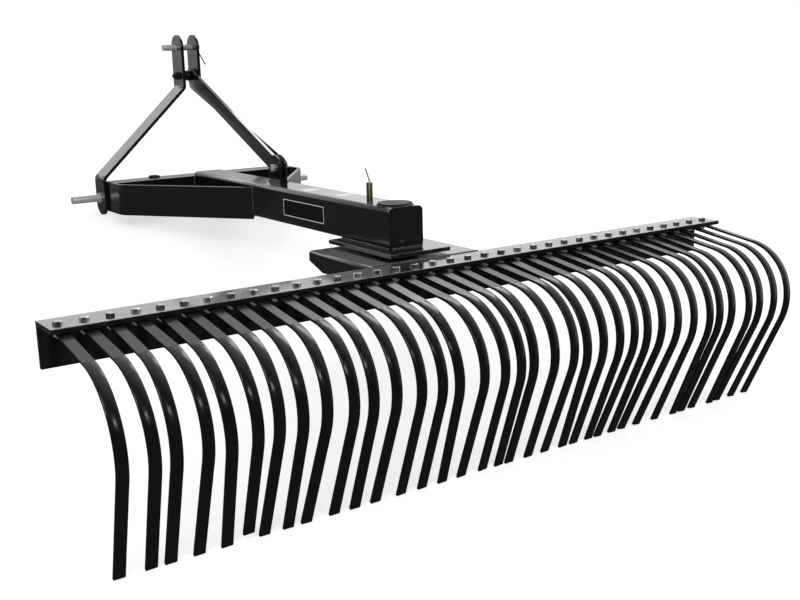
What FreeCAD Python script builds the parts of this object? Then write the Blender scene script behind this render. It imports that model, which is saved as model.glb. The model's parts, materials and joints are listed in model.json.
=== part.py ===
"""Three-point landscape rake, six feet wide, as a parametric FreeCAD document.

Every piece is drawn in the working position: X to the right, Y forwards to the tractor, Z up,
from the middle of the tine bar's top front edge. The whole rake is then tipped forwards onto its
tine tips and mast feet, which is how it stands when it is parked.
"""
import FreeCAD, Part
import math
import os

import Sketcher
from FreeCAD import Placement, Rotation, Vector

# Driving sizes, in millimetres and degrees.
SIZES = {
    # Tine bar: an angle with its flat leg on top and its other leg hanging at the front.
    "tine_count": 36,
    "tine_pitch": 50.8,
    "bar_top_leg": 93,
    "bar_front_leg": 95,
    "bar_wall": 10,
    "bolt_inset": 55,
    "bolt_hole": 11,
    # Spring tines, bent from flat bar.
    "tine_width": 24,
    "tine_thickness": 6,
    "tine_heel": 24,
    "tine_flat": 20,
    "tine_knee_angle": 9,
    "tine_shoulder": 150,
    "tine_curve": 144.5,
    "tine_leg_angle": 111.3,
    "tine_leg": 225,
    "worn_leg": 208,
    # Channel that carries the tine bar, and the swivel above it.
    "channel_width": 320,
    "channel_reach": 277,
    "channel_depth": 47,
    "channel_nose": 25,
    "channel_taper": 62,
    "channel_wall": 8,
    "kingpin_y": 130,
    "kingpin_size": 38,
    "kingpin_cap": 84,
    "kingpin_nut": 66,
    "kingpin_nut_height": 18,
    "swivel_gap": 5,
    "swivel_width": 172,
    "swivel_back": 106,
    "swivel_length": 281,
    "swivel_wall": 10,
    "washer_size": 110,
    "lock_reach": 92,
    "lock_turn": -8,
    "lock_size": 16,
    "lock_height": 47,
    "lock_row_angle": 15,
    # Boom of square tube.
    "boom_size": 98,
    "boom_wall": 6,
    "boom_corner": 12,
    "boom_rear_y": 84,
    "cap_wall": 6,
    # Front frame: crossbar and two bent side plates.
    "crossbar_back": 101,
    "crossbar_size": 80,
    "crossbar_wall": 6,
    "side_plate_y": 785,
    "side_plate_drop": 8,
    "side_plate_height": 92,
    "side_plate_wall": 10,
    "side_bend_back": 146,
    "side_bend_radius": 50,
    "lug_face": 312,
    "lug_corner": 24,
    # Mast of two bent straps.
    "strap_width": 76,
    "strap_wall": 10,
    "strap_foot_y": 1286,
    "strap_foot_drop": 52,
    "strap_bend_rise": 59,
    "strap_bend_radius": 14,
    "strap_lead": 13,
    "strap_gap": 43,
    "strap_neck_rise": 322,
    "strap_top_rise": 488,
    # Pins and bolts of the hitch.
    "lower_pin_z": 46,
    "lower_pin_size": 22.2,
    "lower_pin_reach": 90,
    "pin_collar": 32,
    "pin_collar_width": 7,
    "top_pin_size": 19,
    "top_pin_rise": 449,
    "top_pin_left": 45,
    "top_pin_right": 14,
    "mast_bolt_rise": 361,
    "mast_bolt_size": 20,
    "spacer_wall": 6,
    # Rear brace from the mast down to two ears on the boom.
    "brace_x": 13,
    "brace_width": 44,
    "brace_wall": 10,
    "ear_y": 742,
    "ear_width": 68,
    "ear_height": 78,
    "ear_wall": 6,
    "ear_gap": 11,
    "ear_corner": 32,
    "ear_bolt_rise": 42,
    "ear_bolt_size": 16,
    # Clearances.
    "running_gap": 0.05,
    "face_gap": 0.4,
    "hole_gap": 0.5,
}

# How far use has bent each tine sideways and turned it on its bolt, in degrees, from left to right.
TINE_LEAN = (1.5, 2.5, 1.5, 1.5, 3.5, 2, 0, 0.5, -1.5, 0, 0.5, 0, 1.5, 2, 3.5, 2, 3, 3,
             1, 1, 0, 2.5, -0.5, -1, -4.5, -4, -7, -7.5, -5.5, -3, -5, -6.5, -5, -8, -8, -7.5)
TINE_YAW = (-1, 0, -1.5, 0.5, -2, -0.5, -0.5, -1, 0.5, 1.5, 0, 1, 2, 2, -0.5, 3.5, 4, 2.5,
            0.5, 2.5, 4.5, 0.5, 2, 2.5, 3.5, 1.5, 2.5, 3.5, 3.5, 3.5, 1.5, 1, 3, 2.5, 3.5, 3.5)
# The one tine whose tip has worn shorter.
WORN_TINE = 6

doc = FreeCAD.newDocument("landscape_rake")
sheet = doc.addObject("Spreadsheet::Sheet", "Sizes")
for row, (alias, size) in enumerate(SIZES.items(), start=1):
    sheet.set(f"A{row}", alias)
    sheet.set(f"B{row}", str(size))
    sheet.setAlias(f"B{row}", alias)
doc.recompute()


class Named:
    """A length as both a number and the expression that gives it from the sheet."""

    def __init__(self, value, text):
        self.value = float(value)
        self.text = text

    def joined(self, other, sign, result, swap=False):
        other = other if isinstance(other, Named) else Named(other, f"{float(other)!r}")
        first, last = (other, self) if swap else (self, other)
        return Named(result(first.value, last.value), f"({first.text} {sign} {last.text})")

    def __add__(self, other):
        return self.joined(other, "+", lambda a, b: a + b)

    def __radd__(self, other):
        return self.joined(other, "+", lambda a, b: a + b, swap=True)

    def __sub__(self, other):
        return self.joined(other, "-", lambda a, b: a - b)

    def __rsub__(self, other):
        return self.joined(other, "-", lambda a, b: a - b, swap=True)

    def __mul__(self, other):
        return self.joined(other, "*", lambda a, b: a * b)

    def __rmul__(self, other):
        return self.joined(other, "*", lambda a, b: a * b, swap=True)

    def __truediv__(self, other):
        return self.joined(other, "/", lambda a, b: a / b)

    def __neg__(self):
        return Named(-self.value, f"(-1 * {self.text})")

    def turned(self, function):
        """The sine or cosine of this angle in degrees."""
        number = getattr(math, function)(math.radians(self.value))
        return Named(number, f"{function}({self.text} * 1 deg)")


def size(alias):
    return Named(sheet.get(alias), f"Sizes.{alias}")


def plain(value):
    return value if isinstance(value, Named) else Named(value, f"{float(value)!r}")


# Places that follow from the driving sizes.
bar_length = size("tine_count") * size("tine_pitch")
swivel_bottom = size("swivel_gap")
swivel_top = swivel_bottom + size("swivel_wall")
boom_top = swivel_top + size("boom_size")
boom_mid = swivel_top + size("boom_size") / 2
swivel_rear = size("kingpin_y") - size("swivel_back")
lug_inner = size("lug_face") - size("side_plate_wall")
strap_outer = size("lug_face") + size("strap_wall")
frame_bottom = swivel_top - size("side_plate_drop")
frame_top = frame_bottom + size("side_plate_height")
lug_front = size("strap_foot_y") + size("strap_width") / 2
crossbar_y = size("strap_foot_y") - size("crossbar_back")
side_bend_y = size("strap_foot_y") - size("side_bend_back")
strap_top_y = size("strap_foot_y") + size("strap_lead")
foot_z = size("lower_pin_z")
bend_z = foot_z + size("strap_bend_rise")
neck_z = foot_z + size("strap_neck_rise")
mast_bolt_z = foot_z + size("mast_bolt_rise")
top_pin_z = foot_z + size("top_pin_rise")
foot_end = foot_z - size("strap_foot_drop")
top_end = foot_z + size("strap_top_rise")
ear_bolt_z = boom_top + size("ear_bolt_rise")


def lock_hole(step):
    """Place of one lock hole, counted from the one that holds the head square."""
    angle = step * size("lock_row_angle") + size("lock_turn")
    reach = size("lock_reach")
    return reach * angle.turned("sin"), size("kingpin_y") + reach * angle.turned("cos")



pieces = {}


def part_body(label):
    """A body for one piece, whose label names its file."""
    body = doc.addObject("PartDesign::Body", label)
    body.Label = label
    pieces[label] = body
    return body


def sketch_on(body, plane, offset=0.0):
    """An empty sketch on one of the body's own planes, moved along that plane's normal."""
    sketch = body.newObject("Sketcher::SketchObject", f"{body.Name}_outline")
    planes = {item.Role: item for item in body.Origin.OriginFeatures}
    sketch.AttachmentSupport = (planes[f"{plane}_Plane"], [""])
    sketch.MapMode = "FlatFace"
    sketch.setExpression("AttachmentOffset.Base.z", plain(offset).text)
    return sketch


def pin_point(sketch, shape, end, point):
    """Holds one point of a sketch at a place that the sheet gives."""
    for axis, place in zip(("DistanceX", "DistanceY"), point):
        number = sketch.addConstraint(Sketcher.Constraint(axis, shape, end, plain(place).value))
        sketch.setExpression(f"Constraints[{number}]", plain(place).text)


def outline(sketch, points, curves=None):
    """A closed outline through the points. The side that leaves point N is straight, or an arc where
    curves holds N: its centre, and +1 or -1 for a turn to the left or right."""
    curves = curves or {}
    first = sketch.GeometryCount
    flat = [Vector(plain(a).value, plain(b).value, 0) for a, b in points]
    ends = []
    for step, (start, end) in enumerate(zip(flat, flat[1:] + flat[:1])):
        if step not in curves:
            sketch.addGeometry(Part.LineSegment(start, end))
            ends.append((1, 2))
            continue
        centre, turn = curves[step]
        middle = Vector(plain(centre[0]).value, plain(centre[1]).value, 0)
        round_side = Part.Circle(middle, Vector(0, 0, 1), (start - middle).Length)
        low, high = (start, end) if turn > 0 else (end, start)
        angles = [math.atan2(spot.y - middle.y, spot.x - middle.x) for spot in (low, high)]
        sketch.addGeometry(Part.ArcOfCircle(round_side, *angles))
        ends.append((1, 2) if turn > 0 else (2, 1))
    for step, (near_end, far_end) in enumerate(ends):
        following = (step + 1) % len(flat)
        sketch.addConstraint(Sketcher.Constraint(
            "Coincident", first + step, far_end, first + following, ends[following][0]))
        pin_point(sketch, first + step, near_end, points[step])
    for step, (centre, turn) in curves.items():
        chord = flat[(step + 1) % len(flat)] - flat[step]
        upright = abs(chord.x) > abs(chord.y)
        axis, place = ("DistanceY", plain(centre[1])) if upright else ("DistanceX", plain(centre[0]))
        hold = sketch.addConstraint(Sketcher.Constraint(axis, first + step, 3, place.value))
        sketch.setExpression(f"Constraints[{hold}]", place.text)


def rectangle(sketch, low, high):
    outline(sketch, [low, (high[0], low[1]), high, (low[0], high[1])])


def circle(sketch, centre, radius):
    middle = Vector(plain(centre[0]).value, plain(centre[1]).value, 0)
    number = sketch.addGeometry(Part.Circle(middle, Vector(0, 0, 1), plain(radius).value))
    pin_point(sketch, number, 3, centre)
    hold = sketch.addConstraint(Sketcher.Constraint("Radius", number, plain(radius).value))
    sketch.setExpression(f"Constraints[{hold}]", plain(radius).text)


def built(body, feature):
    """Recomputes, and stops at the first feature that fails."""
    doc.recompute()
    if "Invalid" in feature.State or "Error" in feature.State:
        raise RuntimeError(f"{feature.Label} of {body.Label} failed: {feature.getStatusString()}")
    return feature


def pad(body, sketch, length, symmetric=False, backwards=False):
    feature = body.newObject("PartDesign::Pad", f"{body.Name}_pad")
    feature.Profile = sketch
    feature.setExpression("Length", plain(length).text)
    feature.Midplane = symmetric
    feature.Reversed = backwards
    return built(body, feature)


def cut(body, sketch, length, symmetric=False, backwards=False):
    """A pocket, which has to take something away."""
    before = body.Shape.Volume
    feature = body.newObject("PartDesign::Pocket", f"{body.Name}_cut")
    feature.Profile = sketch
    feature.setExpression("Length", plain(length).text)
    feature.Midplane = symmetric
    feature.Reversed = backwards
    built(body, feature)
    if body.Shape.Volume > before - 1.0:
        raise RuntimeError(f"a cut in {body.Label} takes nothing away")
    return feature


def round_edges(body, radius, chosen):
    """Fillets the edges whose middle point the test chooses."""
    names = []
    for number, edge in enumerate(body.Shape.Edges, start=1):
        middle = edge.valueAt((edge.FirstParameter + edge.LastParameter) / 2)
        if chosen(edge, middle):
            names.append(f"Edge{number}")
    if not names:
        raise RuntimeError(f"no edge to round in {body.Label}")
    solid = body.Tip
    feature = body.newObject("PartDesign::Fillet", f"{body.Name}_round")
    feature.Base = (solid, names)
    feature.setExpression("Radius", plain(radius).text)
    return built(body, feature)


def runs_along(edge, axis):
    """Whether a straight edge lies along a unit axis."""
    if edge.Curve.TypeId != "Part::GeomLine":
        return False
    return abs(edge.tangentAt(edge.FirstParameter).dot(axis)) > 0.999


def near(first, second, slack=0.01):
    return abs(first - second) < slack


def hexagon(sketch, place, across):
    """A hexagon by its width across the flats."""
    corner = across / 2 / Named(math.cos(math.pi / 6), "cos(30 deg)")
    half = corner / 2
    flat = across / 2
    offsets = [(corner, 0), (half, flat), (-half, flat), (-corner, 0), (-half, -flat), (half, -flat)]
    outline(sketch, [(place[0] + a, place[1] + b) for a, b in offsets])


def cylinder(label, centre, radius, low, high, plane="XY"):
    """A round bar along the normal of a plane; low and high are places along that normal."""
    body = part_body(label)
    sketch = sketch_on(body, plane, low)
    circle(sketch, centre, radius)
    pad(body, sketch, high - low)
    return body


FINE_MESH = 0.02
ALONG_X = Vector(1, 0, 0)
ALONG_Y = Vector(0, 1, 0)
ALONG_Z = Vector(0, 0, 1)


def tine_bar():
    """The angle, with one hole for each tine bolt."""
    body = part_body("tine_bar")
    section = sketch_on(body, "YZ")
    wall = size("bar_wall")
    rear = -size("bar_top_leg")
    foot = -size("bar_front_leg")
    outline(section, [(0, 0), (rear, 0), (rear, -wall), (-wall, -wall), (-wall, foot), (0, foot)])
    pad(body, section, bar_length, symmetric=True)
    holes = sketch_on(body, "XY")
    first = size("tine_pitch") / 2 - bar_length / 2
    circle(holes, (first, -size("bolt_inset")), size("bolt_hole") / 2)
    hole = cut(body, holes, wall)
    row = body.newObject("PartDesign::LinearPattern", "tine_bar_holes")
    row.Originals = [hole]
    row.Direction = (holes, ["H_Axis"])
    row.setExpression("Length", (bar_length - size("tine_pitch")).text)
    row.setExpression("Occurrences", size("tine_count").text)
    body.Tip = row
    doc.recompute()


def tine_path(leg=None):
    """Points of a tine's upper face in the YZ plane, with the centre of its long curve."""
    leg = leg or size("tine_leg")
    knee = size("tine_knee_angle")
    lean = size("tine_leg_angle")
    reach = size("tine_curve")
    top = -size("bar_wall")
    bend = (-size("bolt_inset") - size("tine_flat"), top)
    start = (bend[0] - size("tine_shoulder") * knee.turned("cos"),
             bend[1] - size("tine_shoulder") * knee.turned("sin"))
    centre = (start[0] + reach * knee.turned("sin"), start[1] - reach * knee.turned("cos"))
    end = (centre[0] - reach * lean.turned("sin"), centre[1] + reach * lean.turned("cos"))
    tip = (end[0] - leg * lean.turned("cos"), end[1] - leg * lean.turned("sin"))
    return {"heel": (size("tine_heel") - size("bolt_inset"), top), "bend": bend, "start": start,
            "centre": centre, "end": end, "tip": tip}


def tine(number):
    """One spring tine, held under the bar by one bolt."""
    body = part_body(f"tine_{number:02d}")
    sketch = sketch_on(body, "YZ")
    path = tine_path(size("worn_leg") if number == WORN_TINE else None)
    deep = size("tine_thickness")
    knee = size("tine_knee_angle")
    lean = size("tine_leg_angle")
    half = knee / 2
    across_leg = (deep * lean.turned("sin"), -deep * lean.turned("cos"))
    across = {
        "heel": (0, -deep),
        "bend": (deep * half.turned("sin") / half.turned("cos"), -deep),
        "start": (deep * knee.turned("sin"), -deep * knee.turned("cos")),
        "end": across_leg,
        "tip": across_leg,
    }
    under = {name: (path[name][0] + step[0], path[name][1] + step[1])
             for name, step in across.items()}
    order = ("heel", "bend", "start", "end", "tip")
    points = [path[name] for name in order] + [under[name] for name in reversed(order)]
    outline(sketch, points, {2: (path["centre"], 1), 6: (path["centre"], -1)})
    pad(body, sketch, size("tine_width"), symmetric=True)
    hole = sketch_on(body, "XY", -size("bar_wall"))
    circle(hole, (0, -size("bolt_inset")), size("bolt_hole") / 2)
    cut(body, hole, deep)


def head_channel():
    """The upside-down channel that joins the tine bar to the kingpin."""
    body = part_body("head_channel")
    side = sketch_on(body, "YZ")
    reach = size("channel_reach")
    foot = -size("channel_depth")
    nose = -size("channel_nose")
    outline(side, [(0, 0), (0, foot), (reach - size("channel_taper"), foot), (reach, nose), (reach, 0)])
    pad(body, side, size("channel_width"), symmetric=True)
    inside = sketch_on(body, "XZ")
    half = size("channel_width") / 2 - size("channel_wall")
    rectangle(inside, (-half, foot - 1), (half, -size("channel_wall")))
    cut(body, inside, reach)
    holes = sketch_on(body, "XY")
    circle(holes, (0, size("kingpin_y")), size("kingpin_size") / 2 + size("running_gap"))
    for step in (-3, -2, -1, 0, 1, 2, 3):
        circle(holes, lock_hole(step), size("lock_size") / 2 + size("hole_gap"))
    cut(body, holes, size("channel_wall"))
    corner = size("channel_width").value / 2
    round_edges(body, size("channel_wall"), lambda edge, middle: runs_along(edge, ALONG_Y)
                and near(middle.z, 0) and near(abs(middle.x), corner))


def boom_tube():
    """The square tube from over the kingpin forwards to the crossbar."""
    body = part_body("boom_tube")
    rear = size("boom_rear_y") + size("cap_wall")
    long = crossbar_y - rear
    section = sketch_on(body, "XZ", -rear)
    half = size("boom_size") / 2
    rectangle(section, (-half, swivel_top), (half, boom_top))
    pad(body, section, long, backwards=True)
    round_edges(body, size("boom_corner"), lambda edge, middle: runs_along(edge, ALONG_Y))
    hollow = sketch_on(body, "XZ", -rear)
    wall = size("boom_wall")
    rectangle(hollow, (wall - half, swivel_top + wall), (half - wall, boom_top - wall))
    cut(body, hollow, long)
    inner = (half - wall).value
    round_edges(body, size("boom_corner") - wall, lambda edge, middle: runs_along(edge, ALONG_Y)
                and near(abs(middle.x), inner) and abs(middle.z - boom_mid.value) < inner + 1)
    bores = sketch_on(body, "XY", swivel_top)
    circle(bores, (0, size("kingpin_y")), size("kingpin_size") / 2)
    circle(bores, lock_hole(0), size("lock_size") / 2 + size("hole_gap"))
    cut(body, bores, size("boom_size"), backwards=True)


def boom_end_cap():
    body = part_body("boom_end_cap")
    section = sketch_on(body, "XZ", -size("boom_rear_y"))
    half = size("boom_size") / 2
    rectangle(section, (-half, swivel_top), (half, boom_top))
    pad(body, section, size("cap_wall"), backwards=True)
    round_edges(body, size("boom_corner"), lambda edge, middle: runs_along(edge, ALONG_Y))


def upper_swivel_plate():
    """The flat plate welded under the boom, which turns over the channel."""
    body = part_body("upper_swivel_plate")
    flat = sketch_on(body, "XY", swivel_bottom)
    half = size("swivel_width") / 2
    rectangle(flat, (-half, swivel_rear), (half, swivel_rear + size("swivel_length")))
    circle(flat, (0, size("kingpin_y")), size("kingpin_size") / 2)
    circle(flat, lock_hole(0), size("lock_size") / 2 + size("hole_gap"))
    pad(body, flat, size("swivel_wall"))


def thrust_washer():
    """The ring that keeps the two swivel faces apart."""
    body = part_body("thrust_washer")
    flat = sketch_on(body, "XY", size("face_gap"))
    circle(flat, (0, size("kingpin_y")), size("washer_size") / 2)
    circle(flat, (0, size("kingpin_y")), size("kingpin_size") / 2)
    pad(body, flat, swivel_bottom - size("face_gap"))


def kingpin_parts():
    """The pin that the rake head turns on, the cap over it and the nut under the channel."""
    place = (0, size("kingpin_y"))
    nut_top = -size("channel_wall") - size("face_gap")
    nut_foot = nut_top - size("kingpin_nut_height")
    cylinder("kingpin", place, size("kingpin_size") / 2, nut_foot, boom_top)
    cylinder("kingpin_cap", place, size("kingpin_cap") / 2, boom_top, boom_top + size("cap_wall"))
    body = part_body("kingpin_nut")
    flat = sketch_on(body, "XY", nut_foot)
    hexagon(flat, place, size("kingpin_nut"))
    circle(flat, place, size("kingpin_size") / 2)
    pad(body, flat, nut_top - nut_foot)


def lock_pin():
    """The pin that holds the head at its angle, drawn up to the swivel plate so that the head can turn."""
    top = boom_top + size("lock_height")
    cylinder("lock_pin", lock_hole(0), size("lock_size") / 2, swivel_bottom, top)


def front_crossbar():
    """The square tube across the front, between the two lugs."""
    body = part_body("front_crossbar")
    section = sketch_on(body, "YZ")
    wide = size("crossbar_size")
    inset = size("crossbar_wall")
    rectangle(section, (crossbar_y, frame_top - wide), (crossbar_y + wide, frame_top))
    low = (crossbar_y + inset, frame_top - wide + inset)
    rectangle(section, low, (crossbar_y + wide - inset, frame_top - inset))
    pad(body, section, lug_inner * 2, symmetric=True)


def side_plate(name, side):
    """The bent plate from the boom's side out to the lug, on one side."""
    body = part_body(f"side_plate_{name}")
    flat = sketch_on(body, "XY", frame_bottom)
    wall = size("side_plate_wall")
    half = size("boom_size") / 2
    run = side_bend_y - size("side_plate_y")
    rise = size("lug_face") - half
    slant = math.atan2(run.value, rise.value)
    slope = f"atan({run.text} / {rise.text})"
    back = wall / Named(math.cos(slant), f"cos({slope})")
    bend = wall * Named(math.tan(math.pi / 4 - slant / 2), f"tan(45 deg - {slope} / 2)")
    points = [
        (half, size("side_plate_y")),
        (size("lug_face"), side_bend_y),
        (size("lug_face"), lug_front),
        (lug_inner, lug_front),
        (lug_inner, side_bend_y + bend),
        (half, size("side_plate_y") + back),
    ]
    outline(flat, [(side * x, y) for x, y in points])
    pad(body, flat, size("side_plate_height"))
    outer = (size("lug_face").value, side_bend_y.value)
    inner = (lug_inner.value, (side_bend_y + bend).value)
    for radius, corner in ((size("side_bend_radius") - wall, inner), (size("side_bend_radius"), outer)):
        round_edges(body, radius, lambda edge, middle: runs_along(edge, ALONG_Z)
                    and near(abs(middle.x), corner[0]) and near(middle.y, corner[1]))
    bore = sketch_on(body, "YZ")
    circle(bore, (size("strap_foot_y"), foot_z), size("lower_pin_size") / 2)
    cut(body, bore, size("lug_face") * 2, symmetric=True)
    round_edges(body, size("lug_corner"), lambda edge, middle: runs_along(edge, ALONG_X)
                and near(middle.y, lug_front.value))


def strap_front(side):
    """A mast strap seen from behind: its outline up one face and down the other, with its bends."""
    wall = size("strap_wall")
    bend = size("strap_bend_radius")
    foot_x = size("lug_face")
    neck_x = size("strap_gap") / 2
    run = foot_x - neck_x
    rise = neck_z - bend_z
    slant = math.atan2(run.value, rise.value)
    angle = f"atan({run.text} / {rise.text})"
    across = Named(math.cos(slant), f"cos({angle})")
    along = Named(math.sin(slant), f"sin({angle})")
    half_turn = Named(math.tan(slant / 2), f"tan({angle} / 2)")
    low = (foot_x - bend, bend_z - bend * half_turn)
    high = (neck_x + wall + bend, neck_z + (wall + bend) * half_turn)

    def off(centre, radius):
        return centre[0] + radius * across, centre[1] + radius * along

    points = [
        (foot_x, foot_end), (foot_x, low[1]), off(low, bend),
        off(high, -(bend + wall)), (neck_x, high[1]), (neck_x, top_end),
        (neck_x + wall, top_end), (neck_x + wall, high[1]), off(high, -bend),
        off(low, bend + wall), (foot_x + wall, low[1]), (foot_x + wall, foot_end),
    ]
    mirrored = [(side * x, z) for x, z in points]
    low = (side * low[0], low[1])
    high = (side * high[0], high[1])
    return mirrored, {1: (low, side), 3: (high, -side), 7: (high, side), 9: (low, -side)}


def mast_strap(name, side):
    """One bent strap of the mast: round foot on the lug, slanting run, and upright to the top pin."""
    body = part_body(f"mast_strap_{name}")
    half = size("strap_width") / 2
    foot_y = size("strap_foot_y")
    top_y = strap_top_y
    low = (foot_y, foot_end + half)
    high = (top_y, top_end - half)
    rear = foot_y - half
    front = top_y + half
    face = sketch_on(body, "XZ", -rear)
    outline(face, *strap_front(side))
    pad(body, face, front - rear, backwards=True)
    waste = sketch_on(body, "YZ")
    spare = size("strap_wall")
    rectangle(waste, (rear - spare, foot_end - spare), (front + spare, top_end + spare))
    outline(waste, [
        (low[0] - half, low[1]), (low[0] + half, low[1]), (foot_y + half, bend_z),
        (top_y + half, neck_z), (high[0] + half, high[1]), (high[0] - half, high[1]),
        (top_y - half, neck_z), (foot_y - half, bend_z),
    ], {0: (low, 1), 4: (high, 1)})
    circle(waste, (foot_y, foot_z), size("lower_pin_size") / 2)
    circle(waste, (top_y, top_pin_z), size("top_pin_size") / 2)
    circle(waste, (top_y, mast_bolt_z), size("mast_bolt_size") / 2)
    cut(body, waste, (strap_outer + spare) * 2, symmetric=True)


def lower_hitch_pin(name, side):
    """The stud for one lower link, with its collar against the mast strap."""
    body = part_body(f"lower_hitch_pin_{name}")
    place = (size("strap_foot_y"), foot_z)
    shank = sketch_on(body, "YZ", side * lug_inner)
    circle(shank, place, size("lower_pin_size") / 2)
    pad(body, shank, strap_outer + size("lower_pin_reach") - lug_inner, backwards=side < 0)
    collar = sketch_on(body, "YZ", side * strap_outer)
    circle(collar, place, size("pin_collar") / 2)
    pad(body, collar, size("pin_collar_width"), backwards=side < 0)


def top_link_pin():
    reach = size("strap_gap") / 2 + size("strap_wall")
    cylinder("top_link_pin", (strap_top_y, top_pin_z), size("top_pin_size") / 2,
             -reach - size("top_pin_left"), reach + size("top_pin_right"), "YZ")


def mast_bolt():
    """The bolt through both straps and the brace, with a spacer each side of the brace."""
    reach = size("strap_gap") / 2 + size("strap_wall")
    place = (strap_top_y, mast_bolt_z)
    cylinder("mast_bolt", place, size("mast_bolt_size") / 2, -reach, reach, "YZ")
    body = part_body("mast_spacers")
    for side in (-1, 1):
        near_face = side * size("brace_x") + size("brace_wall") / 2
        ring = sketch_on(body, "YZ", side * near_face)
        circle(ring, place, size("mast_bolt_size") / 2 + size("spacer_wall"))
        circle(ring, place, size("mast_bolt_size") / 2)
        pad(body, ring, size("strap_gap") / 2 - near_face, backwards=side < 0)


def rear_brace():
    """The flat bar from the mast bolt down to the ears on the boom."""
    body = part_body("rear_brace")
    sketch = sketch_on(body, "YZ", size("brace_x"))
    high = (strap_top_y, mast_bolt_z)
    low = (size("ear_y"), ear_bolt_z)
    half = size("brace_width") / 2
    run = high[0] - low[0]
    rise = high[1] - low[1]
    slope = math.atan2(rise.value, run.value)
    angle = f"atan({rise.text} / {run.text})"
    step = (half * Named(math.sin(slope), f"sin({angle})"), half * Named(math.cos(slope), f"cos({angle})"))
    points = [
        (low[0] - step[0], low[1] + step[1]),
        (low[0] + step[0], low[1] - step[1]),
        (high[0] + step[0], high[1] - step[1]),
        (high[0] - step[0], high[1] + step[1]),
    ]
    outline(sketch, points, {0: (low, 1), 2: (high, 1)})
    circle(sketch, low, size("ear_bolt_size") / 2)
    circle(sketch, high, size("mast_bolt_size") / 2)
    pad(body, sketch, size("brace_wall"), symmetric=True)


def brace_ear(name, side):
    """One of the two ears on the boom that hold the brace's lower end."""
    body = part_body(f"brace_ear_{name}")
    sketch = sketch_on(body, "YZ", size("brace_x") + side * size("ear_gap") / 2)
    half = size("ear_width") / 2
    top = boom_top + size("ear_height")
    rectangle(sketch, (size("ear_y") - half, boom_top), (size("ear_y") + half, top))
    circle(sketch, (size("ear_y"), ear_bolt_z), size("ear_bolt_size") / 2)
    pad(body, sketch, size("ear_wall"), backwards=side < 0)
    round_edges(body, size("ear_corner"), lambda edge, middle:
                runs_along(edge, ALONG_X) and near(middle.z, top.value))


def brace_bolt():
    reach = size("ear_gap") / 2 + size("ear_wall")
    left = size("brace_x") - reach
    right = size("brace_x") + reach
    cylinder("brace_bolt", (size("ear_y"), ear_bolt_z), size("ear_bolt_size") / 2, left, right, "YZ")


def parking_turn():
    """How far the rake tips forwards to stand on its tine tips and the round feet of its mast."""
    tip = Vector(*[place.value for place in tine_path()["tip"]], 0)
    foot = size("strap_width").value / 2
    span = Vector(size("strap_foot_y").value, foot_end.value + foot, 0) - tip
    angle = math.acos(foot / span.Length) - math.atan2(span.x, span.y)
    return Rotation(Vector(1, 0, 0), -math.degrees(angle))


def tine_place(number):
    """Where a tine's bolt holds it in the working position, bent sideways and turned on its bolt."""
    lean = TINE_LEAN[number - 1]
    first = (size("tine_pitch") - bar_length).value / 2
    seat = Vector(0, -size("bolt_inset").value, -size("bar_wall").value)
    drop = size("tine_width").value / 2 * math.sin(math.radians(abs(lean)))
    moved = seat + Vector(first + (number - 1) * size("tine_pitch").value, 0, -drop)
    turn = Rotation(Vector(0, 0, 1), TINE_YAW[number - 1]) * Rotation(Vector(0, 1, 0), -lean)
    return Placement(moved, turn) * Placement(-seat, Rotation())


def park(tines):
    """Gives every piece its place on the floor, with the origin under the middle of the whole rake."""
    turn = Placement(Vector(), parking_turn())
    for label, body in pieces.items():
        body.Placement = turn * tines.get(label, Placement())
    doc.recompute()
    box = FreeCAD.BoundBox()
    for body in pieces.values():
        for point in body.Shape.tessellate(FINE_MESH)[0]:
            box.add(point)
    lift = Placement(Vector(-box.Center.x, -box.Center.y, -box.ZMin), Rotation())
    for body in pieces.values():
        body.Placement = lift * body.Placement
    doc.recompute()


tine_bar()
tine_places = {}
for count in range(1, int(size("tine_count").value) + 1):
    tine(count)
    tine_places[f"tine_{count:02d}"] = tine_place(count)
head_channel()
boom_tube()
boom_end_cap()
upper_swivel_plate()
thrust_washer()
kingpin_parts()
lock_pin()
front_crossbar()
for name, side in (("left", -1), ("right", 1)):
    side_plate(name, side)
    mast_strap(name, side)
    lower_hitch_pin(name, side)
    brace_ear(name, side)
top_link_pin()
mast_bolt()
rear_brace()
brace_bolt()
park(tine_places)

for item in doc.Objects:
    if "Invalid" in item.State or "Error" in item.State:
        raise RuntimeError(f"{item.Label} failed: {item.State}")
for label, body in pieces.items():
    if body.Shape.isNull() or not body.Shape.isValid():
        raise RuntimeError(f"{label} has no valid shape")
os.makedirs("parts", exist_ok=True)
for label, body in pieces.items():
    body.Shape.exportStep(f"parts/{label}.step")
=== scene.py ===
"""Finishes the landscape rake: paint and plating, bolts, welds, clips, label, stickers and the studio."""

import json
import math
import random

import bpy
from bpy.props import FloatProperty, FloatVectorProperty, PointerProperty
from mathutils import Matrix, Vector


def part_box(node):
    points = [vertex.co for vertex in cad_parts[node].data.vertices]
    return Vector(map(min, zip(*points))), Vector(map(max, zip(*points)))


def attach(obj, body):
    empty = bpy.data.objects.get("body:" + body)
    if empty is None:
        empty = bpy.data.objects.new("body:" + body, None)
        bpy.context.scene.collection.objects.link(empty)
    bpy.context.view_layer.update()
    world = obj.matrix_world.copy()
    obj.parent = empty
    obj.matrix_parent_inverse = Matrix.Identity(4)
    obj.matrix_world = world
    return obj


bl_info = {
    "name": "Landscape rake",
    "version": (1, 0, 0),
    "blender": (4, 5, 0),
    "location": "View3D > Sidebar > Rake",
    "description": "Finishes the landscape rake round its construction",
    "category": "Object",
}

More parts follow.
